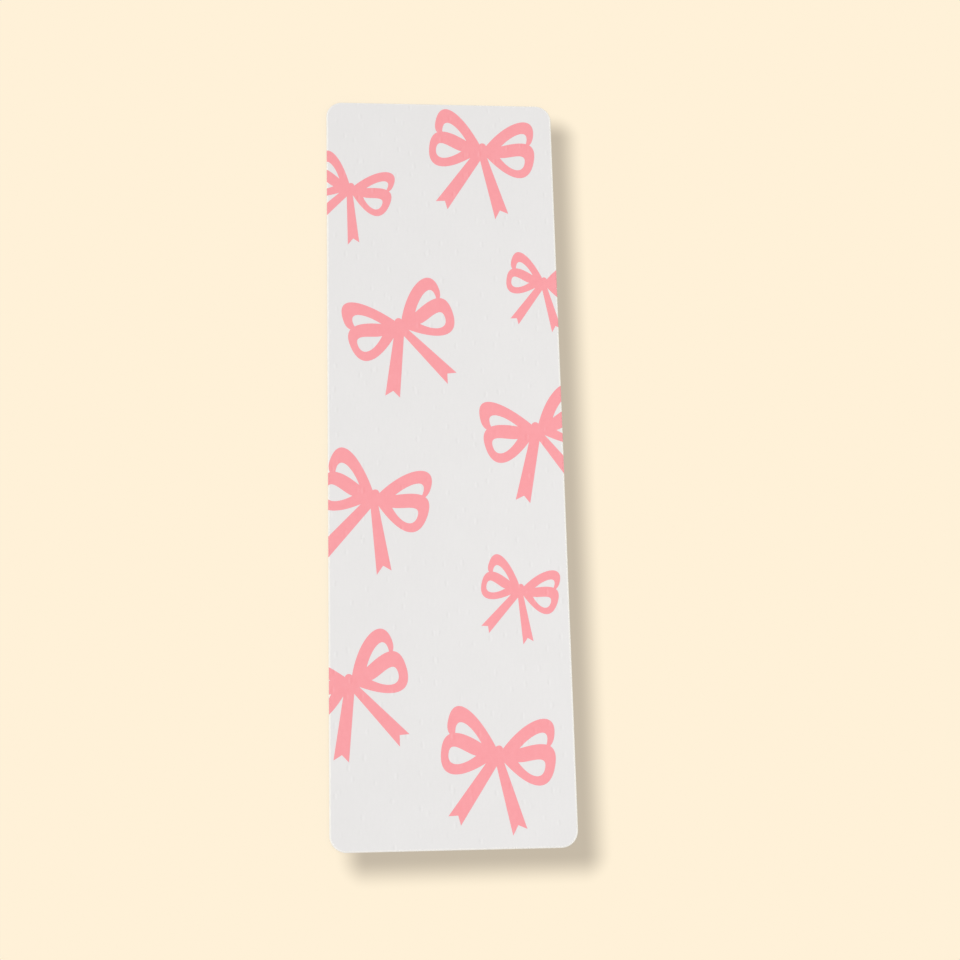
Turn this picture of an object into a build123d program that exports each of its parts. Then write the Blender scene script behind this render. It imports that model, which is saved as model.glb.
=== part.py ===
# A flat bookmark: a sheet of off-white card with rounded corners, printed with nine ribbon bows.
# It lies on its back. +Z points out of the printed face, +Y runs along the card and +X to the
# right of the print. The origin is the centre of the back face. Sizes are in millimetres.

import os

from build123d import *

# Card
card_width = 50.8
card_length = 165.1
card_thickness = 0.5
corner_radius = 3.5
rim_radius = 0.3  # roll that the cutting die presses into the rim of the printed side
least_wall = 0.1  # square-cut part of the edge that is always left below the roll

# Ink that stands on the face of the card
ink_thickness = 0.03
ink_margin = 0.04  # bare strip that the cut leaves at the very edge

# Span of the bows, from the far end of one loop to the far end of the other
large_bow_span = 23.8
medium_bow_span = 18.9
small_bow_span = 16.6

# Where the bows are printed: shares of the half width and of the half length, from the centre of
# the card, with the angle that each bow is turned by, in degrees
bow_prints = {
    "bow_top_right": dict(across_share=0.366, along_share=0.862, turn_angle=-9.5, span=large_bow_span),
    "bow_top_left": dict(across_share=-0.803, along_share=0.745, turn_angle=-20.8, span=medium_bow_span),
    "bow_upper_left": dict(across_share=-0.378, along_share=0.356, turn_angle=19.0, span=large_bow_span),
    "bow_upper_right": dict(across_share=0.878, along_share=0.482, turn_angle=-11.1, span=small_bow_span),
    "bow_middle_right": dict(across_share=0.772, along_share=0.07, turn_angle=13.2, span=large_bow_span),
    "bow_middle_left": dict(across_share=-0.622, along_share=-0.11, turn_angle=-17.1, span=large_bow_span),
    "bow_lower_right": dict(across_share=0.586, along_share=-0.353, turn_angle=-16.9, span=small_bow_span),
    "bow_lower_left": dict(across_share=-0.826, along_share=-0.586, turn_angle=18.5, span=large_bow_span),
    "bow_bottom_right": dict(across_share=0.364, along_share=-0.770, turn_angle=-9.6, span=large_bow_span),
}

# The bow as it is drawn, measured from the centre of the knot. Its two sides are not quite alike, and
# on both of them distances across run outwards. The edge of a loop or of the eye inside it is two
# curves. They leave the tip towards out, pass the far end upright between rise above it and fall
# below it, and come back to the tip from back. A tail hangs at its angle from straight down.
right_side = dict(
    upper_loop=dict(tip=(-0.1, -0.6), out=(4.0, 8.6), far=(11.2, 5.6), rise=6.5, fall=3.2, back=(8.6, 1.1)),
    upper_eye=dict(tip=(3.9, 1.4), out=(6.2, 5.3), far=(9.9, 4.3), rise=3.6, fall=2.6, back=(7.4, 1.6)),
    lower_loop=dict(tip=(0, 0), out=(5.1, 2.2), far=(12.2, 0), rise=7.0, fall=6.7, back=(7.4, -6.5)),
    lower_eye=dict(tip=(4.4, -0.8), out=(6.5, -0.8), far=(10.2, -1.0), rise=3.1, fall=2.9, back=(7.3, -3.8)),
    tail=dict(angle=24.6, root_width=1.5, inner_length=16.6, outer_length=16.1),
)
left_side = dict(
    upper_loop=dict(tip=(-0.7, -0.3), out=(4.6, 7.8), far=(11.3, 5.0), rise=7.7, fall=3.0, back=(8.9, 1.1)),
    upper_eye=dict(tip=(3.6, 1.8), out=(6.0, 5.1), far=(9.5, 4.0), rise=3.2, fall=2.5, back=(7.4, 1.6)),
    lower_loop=dict(tip=(0, 0), out=(6.0, 3.4), far=(11.8, -0.3), rise=5.6, fall=7.4, back=(6.2, -6.2)),
    lower_eye=dict(tip=(4.4, -0.8), out=(6.7, -0.7), far=(10.2, -1.1), rise=3.1, fall=2.8, back=(7.5, -3.9)),
    tail=dict(angle=25.4, root_width=2.0, inner_length=16.2, outer_length=16.1),
)
tail_end_width = 3.2
tail_notch = 1.25  # depth of the swallow-tail cut, from the outer tip
knot_width = 1.7
knot_height = 4.0
knot_offset = 0.1  # to the right of the middle

roll = min(rim_radius, card_thickness - least_wall)
drawn_span = right_side["lower_loop"]["far"][0] + left_side["lower_loop"]["far"][0]

os.makedirs("parts", exist_ok=True)


def ribbon_edge(tip, out, far, rise, fall, back, mode=Mode.ADD):
    far_across, far_up = far
    with BuildLine() as outline:
        Bezier(tip, out, (far_across, far_up + rise), far)
        Bezier(far, (far_across, far_up - fall), back, tip)
    make_face(outline.edges(), mode=mode)


def ribbon_tail(angle, root_width, inner_length, outer_length):
    Polygon(
        (-root_width / 2, 0),
        (-tail_end_width / 2, -inner_length),
        (0, tail_notch - outer_length),
        (tail_end_width / 2, -outer_length),
        (root_width / 2, 0),
        rotation=angle,
        align=None,
    )


def bow_side(upper_loop, upper_eye, lower_loop, lower_eye, tail):
    with BuildSketch() as side:
        ribbon_edge(**upper_loop)
        ribbon_edge(**upper_eye, mode=Mode.SUBTRACT)
        ribbon_edge(**lower_loop)
        ribbon_edge(**lower_eye, mode=Mode.SUBTRACT)
        ribbon_tail(**tail)
    return side.sketch


# Card: the cut sheet, with the rim of its printed side rolled over
with BuildPart() as card:
    with BuildSketch():
        RectangleRounded(card_width, card_length, corner_radius)
    extrude(amount=card_thickness)
    fillet(card.edges().group_by(Axis.Z)[-1], radius=roll)
card.part.label = "card"
export_step(card.part, "parts/card.step")

# The part of the card that the ink reaches: the face and most of the rolled rim
with BuildSketch() as print_area:
    RectangleRounded(card_width - 2 * ink_margin, card_length - 2 * ink_margin, corner_radius - ink_margin)

# The bow: two loops and a forked tail on each side, with the knot over the middle
right_half = bow_side(**right_side)
left_half = bow_side(**left_side)
with BuildSketch() as bow:
    add(right_half)
    mirror(left_half, about=Plane.YZ)
    with Locations((knot_offset, 0)):
        SlotOverall(knot_height, knot_width, rotation=90)

# The prints: a film of ink in the shape of the bow, cut off where it runs over the side of the card.
# It is what lies between the card and a copy of the card raised by the film, so it follows the rim.
raised_card = card.part.moved(Location((0, 0, ink_thickness)))
for name, place in bow_prints.items():
    across = place["across_share"] * card_width / 2
    along = place["along_share"] * card_length / 2
    with BuildPart() as bow_print:
        with BuildSketch():
            with Locations((across, along)):
                add(bow.sketch.scale(place["span"] / drawn_span), rotation=place["turn_angle"])
            add(print_area.sketch, mode=Mode.INTERSECT)
        extrude(amount=card_thickness + 2 * ink_thickness)
        add(raised_card, mode=Mode.INTERSECT)
        add(card.part, mode=Mode.SUBTRACT)
    bow_print.part.label = name
    export_step(bow_print.part, f"parts/{name}.step")
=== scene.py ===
import math

import bpy
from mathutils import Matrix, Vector


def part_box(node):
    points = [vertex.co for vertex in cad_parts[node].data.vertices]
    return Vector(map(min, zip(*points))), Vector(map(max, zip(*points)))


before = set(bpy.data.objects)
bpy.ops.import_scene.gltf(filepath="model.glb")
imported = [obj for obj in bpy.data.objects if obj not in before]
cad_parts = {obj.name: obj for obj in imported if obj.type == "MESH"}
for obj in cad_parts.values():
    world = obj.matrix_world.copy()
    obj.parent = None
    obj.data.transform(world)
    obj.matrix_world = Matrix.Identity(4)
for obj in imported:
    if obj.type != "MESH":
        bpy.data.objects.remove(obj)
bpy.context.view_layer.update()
cardLow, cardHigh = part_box("card")
mm = 0.001
midTone = 0.5  # halfway between the two tones of a finish
print("frame loaded:", len(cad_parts), "nodes")


class Wire:
    # One output of a shader node. Sums on wires add Math nodes to the same tree.
    def __init__(self, tree, socket=None):
        self.tree = tree
        self.socket = socket

    def node(self, kind, settings=None, inputs=None, output=0):
        made = self.tree.nodes.new(kind)
        for name, value in (settings or {}).items():
            setattr(made, name, value)
        for name, value in (inputs or {}).items():
            if isinstance(value, Wire):
                self.tree.links.new(value.socket, made.inputs[name])
            else:
                made.inputs[name].default_value = value
        return Wire(self.tree, made.outputs[output])

    def other(self, output):
        return Wire(self.tree, self.socket.node.outputs[output])

    def maths(self, operation, first, second=0.0):
        return self.node("ShaderNodeMath", {"operation": operation}, {0: first, 1: second})

    def __add__(self, value):
        return self.maths("ADD", self, value)

    def __radd__(self, value):
        return self.maths("ADD", value, self)

    def __sub__(self, value):
        return self.maths("SUBTRACT", self, value)

    def __rsub__(self, value):
        return self.maths("SUBTRACT", value, self)

    def __mul__(self, value):
        return self.maths("MULTIPLY", self, value)

    def __rmul__(self, value):
        return self.maths("MULTIPLY", value, self)

    def __abs__(self):
        return self.maths("ABSOLUTE", self)

    def root(self):
        return self.maths("SQRT", self)

    def above(self, value):
        return self.maths("MAXIMUM", self, value)

    def below(self, value):
        return self.maths("MINIMUM", self, value)

    # 0 at start and 1 at end, easing out of the one and into the other
    def fade(self, start, end):
        return self.node(
            "ShaderNodeMapRange",
            {"interpolation_type": "SMOOTHSTEP"},
            {"Value": self, "From Min": start, "From Max": end},
        )

    # a vector times one number for each axis
    def stretch(self, factors):
        return self.node("ShaderNodeVectorMath", {"operation": "MULTIPLY"}, {0: self, 1: factors})

    # noise between 0 and 1
    def noise(self, scale=1.0, detail=2.0):
        return self.node("ShaderNodeTexNoise", {}, {"Vector": self, "Scale": scale, "Detail": detail})

    # the same noise, above and below 0
    def ripple(self, scale=1.0, detail=2.0):
        return self.noise(scale, detail) - 0.5

    # the colour sockets of a Mix node share their names with others, so they go by number
    def mixColour(self, first, second):
        return self.node("ShaderNodeMix", {"data_type": "RGBA"}, {0: self, 6: first, 7: second}, output=2)


def newMaterial(name):
    material = bpy.data.materials.new(name)
    material.use_nodes = True
    tree = material.node_tree
    shader = tree.nodes["Principled BSDF"]
    place = Wire(tree).node("ShaderNodeTexCoord", output="Object")
    placeMm = place.stretch((1 / mm, 1 / mm, 1 / mm))
    return material, shader, placeMm


def joinSockets(shader, wires):
    for name, wire in wires.items():
        wire.tree.links.new(wire.socket, shader.inputs[name])


def addBump(shader, heightMm):
    bump = heightMm.node("ShaderNodeBump", {}, {"Height": heightMm, "Distance": mm, "Strength": 1.0})
    joinSockets(shader, {"Normal": bump})


# The sheet: felt-marked, uncoated, off-white card
cardPaper = {
    "lowTone": (0.790, 0.776, 0.768, 1),
    "highTone": (0.842, 0.828, 0.820, 1),
    # the rim: whiter cut fibres along the rolled edge, with a painted highlight on them
    "rimToneWithHighlight": (0.918, 0.900, 0.856, 1),
    "cornerRadiusMm": 3.5,
    "rimFadeMm": (0.50, 0.21),  # distances from the edge at which the pale rim, cut fibres with a painted highlight, ends and is full
    "rimRaggedMm": 0.2,
    "endRimShade": 0.5,  # share of the pale rim taken off at the ends, a painted shade on the rim there
    "wobblePerMm": 1.3,
    "wobbleMm": 0.3,  # how far the felt marks stray from straight lines
    "feltCellMm": (3.0, 6.0),  # one felt mark to a cell, which is longer along the card
    "feltSize": 0.18,  # from the middle of a mark to its end, as a share of the cell
    "feltGain": 3.5,  # brings the top of the ridge and the foot of the groove to about 1 and -1
    "feltDepthMm": 0.012,
    # a lighter ridge and a darker groove at each felt mark, painted light and shade
    "feltLightAndShade": 1.15,
    "fibreMm": (0.55, 2.6),  # width and length
    "fibreDepthMm": 0.010,
    "fibreTone": 0.4,
    "crossAngle": 38,  # degrees between the crossing fibres and the long ones
    "crossDepthMm": 0.005,
    "toothPerMm": 5.0,
    "toothDepthMm": 0.003,
    "cloudPerMm": 0.11,
    "cloudTone": 0.5,
    "wallFadeMm": (0.08, 0.02),  # the same pair for the cut edge below the rim
    "plyPerMm": (0.6, 0.6, 16.0),  # layers that show in the cut edge, long and thin
    "plyDepthMm": 0.006,
    "plyTone": 0.8,
    "roughness": 0.86,
    "toothRoughness": 0.12,
    "rimRoughness": 0.06,
    "specular": 0.25,
}


# Marks that a felt leaves in the wet sheet, each a groove with a ridge beside it
def feltMarks(placeMm):
    look = cardPaper
    stray = look["wobbleMm"]
    wobble = placeMm.noise(look["wobblePerMm"], detail=1.0).other("Color")
    bent = placeMm.node(
        "ShaderNodeVectorMath",
        {"operation": "MULTIPLY_ADD"},
        {0: wobble, 1: (stray, stray, 0), 2: placeMm},
    )
    cellWide, cellLong = look["feltCellMm"]
    cells = bent.stretch((1 / cellWide, 1 / cellLong, 1))
    mark = cells.node(
        "ShaderNodeTexVoronoi",
        {"voronoi_dimensions": "2D"},
        {"Vector": cells, "Scale": 1.0},
    )
    offset = cells.node(
        "ShaderNodeVectorMath",
        {"operation": "SUBTRACT"},
        {0: cells, 1: mark.other("Position")},
    )
    sideways = offset.node("ShaderNodeSeparateXYZ", {}, {"Vector": offset})
    chance = mark.node("ShaderNodeSeparateColor", {}, {"Color": mark.other("Color")})
    sign = chance * 2 - 1  # puts the ridge left or right of the groove, and makes marks deep or faint
    return mark.fade(look["feltSize"], 0) * sideways * (look["feltGain"] / look["feltSize"]) * sign


def paperRelief(placeMm):
    look = cardPaper
    felt = feltMarks(placeMm)
    wide, long = look["fibreMm"]
    fibrePerMm = (1 / wide, 1 / long, 1 / wide)
    fibre = placeMm.stretch(fibrePerMm).ripple()
    turned = placeMm.node(
        "ShaderNodeVectorRotate",
        {"rotation_type": "Z_AXIS"},
        {"Vector": placeMm, "Angle": math.radians(look["crossAngle"])},
    )
    cross = turned.stretch(fibrePerMm).ripple()
    tooth = placeMm.ripple(look["toothPerMm"])
    heightMm = felt * look["feltDepthMm"] + fibre * look["fibreDepthMm"]
    heightMm = heightMm + cross * look["crossDepthMm"] + tooth * look["toothDepthMm"]
    return {"felt": felt, "fibre": fibre, "tooth": tooth, "heightMm": heightMm}


# How far a point lies beyond the centres of the rounded corners, across the card and along it
def pastCorners(placeMm):
    radius = cardPaper["cornerRadiusMm"]
    halfWide = (cardHigh.x - cardLow.x) / 2 / mm
    halfLong = (cardHigh.y - cardLow.y) / 2 / mm
    across = placeMm.node("ShaderNodeSeparateXYZ", {}, {"Vector": placeMm})
    along = across.other("Y")
    return abs(across) - (halfWide - radius), abs(along) - (halfLong - radius)


# How far a point lies inside the outline of the card, from the two distances of pastCorners
def insideOutline(overX, overY):
    cornerX = overX.above(0)
    cornerY = overY.above(0)
    corner = (cornerX * cornerX + cornerY * cornerY).root()
    side = overX.above(overY).below(0)
    return cardPaper["cornerRadiusMm"] - corner - side


def makeCardPaper():
    look = cardPaper
    material, shader, placeMm = newMaterial("cardPaper")
    relief = paperRelief(placeMm)
    overX, overY = pastCorners(placeMm)
    inside = insideOutline(overX, overY)
    atEnd = (overY - overX).fade(-look["cornerRadiusMm"], look["cornerRadiusMm"])
    rim = (inside + relief["tooth"] * look["rimRaggedMm"]).fade(*look["rimFadeMm"])
    # the rim is painted darker at both ends, as shade
    rim = rim * (1 - atEnd * look["endRimShade"])
    wall = inside.fade(*look["wallFadeMm"])
    ply = placeMm.stretch(look["plyPerMm"]).ripple() * wall
    cloud = placeMm.ripple(look["cloudPerMm"])
    tone = midTone + cloud * look["cloudTone"] + relief["fibre"] * look["fibreTone"]
    # felt marks painted lighter on the ridge and darker in the groove, as light and shade
    tone = tone + relief["felt"] * look["feltLightAndShade"] + ply * look["plyTone"]
    colour = tone.mixColour(look["lowTone"], look["highTone"])
    # pale rim: whiter cut fibres and a painted highlight along the edge
    colour = rim.mixColour(colour, look["rimToneWithHighlight"])
    roughness = look["roughness"] + relief["tooth"] * look["toothRoughness"] + rim * look["rimRoughness"]
    joinSockets(shader, {"Base Color": colour, "Roughness": roughness})
    shader.inputs["Specular IOR Level"].default_value = look["specular"]
    addBump(shader, relief["heightMm"] + ply * look["plyDepthMm"])
    return material


# The prints: matte pink ink that has soaked into the felt marks
pinkInk = {
    "thinTone": (0.966, 0.375, 0.404, 1),
    "fullTone": (0.930, 0.328, 0.354, 1),
    "bareTone": (0.960, 0.545, 0.555, 1),  # where the tooth of the paper took little ink
    "mottlePerMm": 0.9,
    "mottleTone": 0.7,
    "driftPerMm": 0.09,
    "driftTone": 0.5,
    "fibreTone": 0.4,
    "feltLightAndShade": 0.9,  # ink gathers in the grooves and lies thin on the ridges, and the lighter ridges and darker grooves also paint light and shade
    "speckPerMm": 5.0,
    "speckFade": (0.66, 0.80),  # only the peaks of the noise make specks
    "speckBare": 0.35,
    "feltBare": 0.12,
    "reliefShare": 0.8,  # how much of the paper's relief shows through the film
    "roughness": 0.66,
    "mottleRoughness": 0.2,
    "bareRoughness": 0.1,
    "specular": 0.3,
}


def makePinkInk():
    look = pinkInk
    material, shader, placeMm = newMaterial("pinkInk")
    relief = paperRelief(placeMm)
    mottle = placeMm.ripple(look["mottlePerMm"], detail=3.0)
    drift = placeMm.ripple(look["driftPerMm"], detail=1.0)
    tone = midTone + mottle * look["mottleTone"] + drift * look["driftTone"]
    # felt marks: thinner ink on the ridges, plus painted light and shade on the marks
    tone = tone + relief["fibre"] * look["fibreTone"] - relief["felt"] * look["feltLightAndShade"]
    colour = tone.mixColour(look["thinTone"], look["fullTone"])
    speck = placeMm.noise(look["speckPerMm"], detail=1.0).fade(*look["speckFade"])
    bare = speck * look["speckBare"] + relief["felt"].above(0) * look["feltBare"]
    colour = bare.mixColour(colour, look["bareTone"])
    roughness = look["roughness"] + mottle * look["mottleRoughness"] + bare * look["bareRoughness"]
    joinSockets(shader, {"Base Color": colour, "Roughness": roughness})
    shader.inputs["Specular IOR Level"].default_value = look["specular"]
    addBump(shader, relief["heightMm"] * look["reliefShare"])
    return material


paper = makeCardPaper()
ink = makePinkInk()
for name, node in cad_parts.items():
    finish = paper if name == "card" else ink
    for slot in node.material_slots:
        slot.material = finish
print("finishes on", len(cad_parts), "nodes")


# 1 for what is seen straight, mirrored or through glass, and 0 for light on its way to the card
def seenRays(tree):
    rays = Wire(tree).node("ShaderNodeLightPath", output="Is Camera Ray")
    return rays.above(rays.other("Is Glossy Ray")).above(rays.other("Is Transmission Ray"))


# Pale plain floor, with a soft shadow painted beside the card and a painted contact shade
floorLook = {
    "colour": (1.0, 0.880, 0.686, 1),
    "paintedShadowColour": (0.562, 0.490, 0.386, 1),
    "paintedShadowShiftMm": (4.2, -4.5),
    "paintedShadowBlurMm": 3.2,
    "contactShadeColour": (0.42, 0.38, 0.33, 1),  # painted shade close to the card, where it keeps light off the floor
    "contactShadeShare": 0.25,
    "contactReachMm": 3.0,
    "contactSamples": 2,
    "size": 6.0,
    "gapMm": 0.02,  # keeps the floor clear of the back of the card
}


def makeFloorPaint():
    look = floorLook
    material, shader, placeMm = newMaterial("floorPaint")
    tree = material.node_tree
    shiftX, shiftY = look["paintedShadowShiftMm"]
    shifted = placeMm.node(
        "ShaderNodeVectorMath",
        {"operation": "SUBTRACT"},
        {0: placeMm, 1: (shiftX, shiftY, 0)},
    )
    blur = look["paintedShadowBlurMm"]
    # a soft shadow painted on the floor: the card's outline, shifted and blurred
    shadow = insideOutline(*pastCorners(shifted)).fade(-blur, blur)
    openness = placeMm.node(
        "ShaderNodeAmbientOcclusion",
        {"samples": look["contactSamples"]},
        {"Distance": look["contactReachMm"] * mm},
        output="AO",
    )
    # painted contact shade, darker where the card hides more of the sky from the floor
    contact = (1 - openness) * look["contactShadeShare"]
    colour = shadow.mixColour(look["colour"], look["paintedShadowColour"])
    colour = contact.mixColour(colour, look["contactShadeColour"])
    # the lit shader passes light on to the card, and the plain one, which glows with the painted shadow
    # and shade, is what the camera sees
    shader.inputs["Base Color"].default_value = look["colour"]
    shader.inputs["Roughness"].default_value = 1.0
    shader.inputs["Specular IOR Level"].default_value = 0.0
    lit = Wire(tree, shader.outputs["BSDF"])
    black = (0, 0, 0, 1)
    plain = lit.node(
        "ShaderNodeBsdfPrincipled",
        {},
        {
            "Base Color": black,
            "Specular IOR Level": 0.0,
            "Emission Color": colour,
            "Emission Strength": 1.0,
        },
    )
    either = lit.node("ShaderNodeMixShader", {}, {0: seenRays(tree), 1: lit, 2: plain})
    joinSockets(tree.nodes["Material Output"], {"Surface": either})
    return material


def makeFloor():
    bpy.ops.object.select_all(action="DESELECT")
    floorTop = cardLow.z - floorLook["gapMm"] * mm
    bpy.ops.mesh.primitive_plane_add(size=floorLook["size"], location=(0, 0, floorTop))
    floor = bpy.context.active_object
    floor.name = "floor"
    bpy.ops.object.transform_apply(location=True)
    floor.data.materials.append(makeFloorPaint())


makeFloor()
print("floor laid")


# Soft studio light: an even sky, a wide lamp far off on the left and a weak one close by on the right.
# A lamp's share is how bright it alone makes white paper at the middle of the card, where 1 is white.
studio = {
    "skyStrength": 0.64,
    "skyColour": (1, 1, 1, 1),
    "keyLamp": {"place": (-1.54, -0.28, 2.30), "share": 0.26, "size": 0.9},
    "fillLamp": {"place": (0.180, -0.035, 0.280), "share": 0.12, "size": 0.16},
}


def makeLamp(name):
    look = studio[name]
    place = Vector(look["place"])
    slant = place.z / place.length  # cosine of the angle at which the light meets the card
    lamp = bpy.data.lights.new(name, "AREA")
    lamp.shape = "DISK"
    lamp.size = look["size"]
    lamp.energy = look["share"] * math.pi ** 2 * place.length ** 2 / slant
    holder = bpy.data.objects.new(name, lamp)
    holder.location = place
    holder.rotation_euler = (-place).to_track_quat("-Z", "Y").to_euler()
    holder.visible_camera = False
    bpy.context.scene.collection.objects.link(holder)


# The camera sees the sky in the colour of the floor
def makeSky():
    world = bpy.data.worlds.new("studioSky")
    bpy.context.scene.world = world
    world.use_nodes = True
    tree = world.node_tree
    seen = seenRays(tree)
    colour = seen.mixColour(studio["skyColour"], floorLook["colour"])
    strength = studio["skyStrength"] + seen * (1 - studio["skyStrength"])
    joinSockets(tree.nodes["Background"], {"Color": colour, "Strength": strength})


makeSky()
makeLamp("keyLamp")
makeLamp("fillLamp")
print("light set")


# Camera where the photograph was taken from
photoView = {
    "place": (-0.028670, -0.091376, 0.347823),
    "turn": (14.0199, -5.5112, -1.4794),  # degrees about X, Y and Z
    "lensMm": 62.927,
    "sensorMm": 36,
    "clip": (0.01, 50),
}


def makeCamera():
    camera = bpy.data.cameras.new("photoCamera")
    camera.lens = photoView["lensMm"]
    camera.sensor_width = photoView["sensorMm"]
    camera.clip_start, camera.clip_end = photoView["clip"]
    holder = bpy.data.objects.new("photoCamera", camera)
    holder.location = photoView["place"]
    holder.rotation_euler = [math.radians(angle) for angle in photoView["turn"]]
    bpy.context.scene.collection.objects.link(holder)
    bpy.context.scene.camera = holder


makeCamera()
bpy.context.scene.view_settings.view_transform = "Standard"
print("camera set")
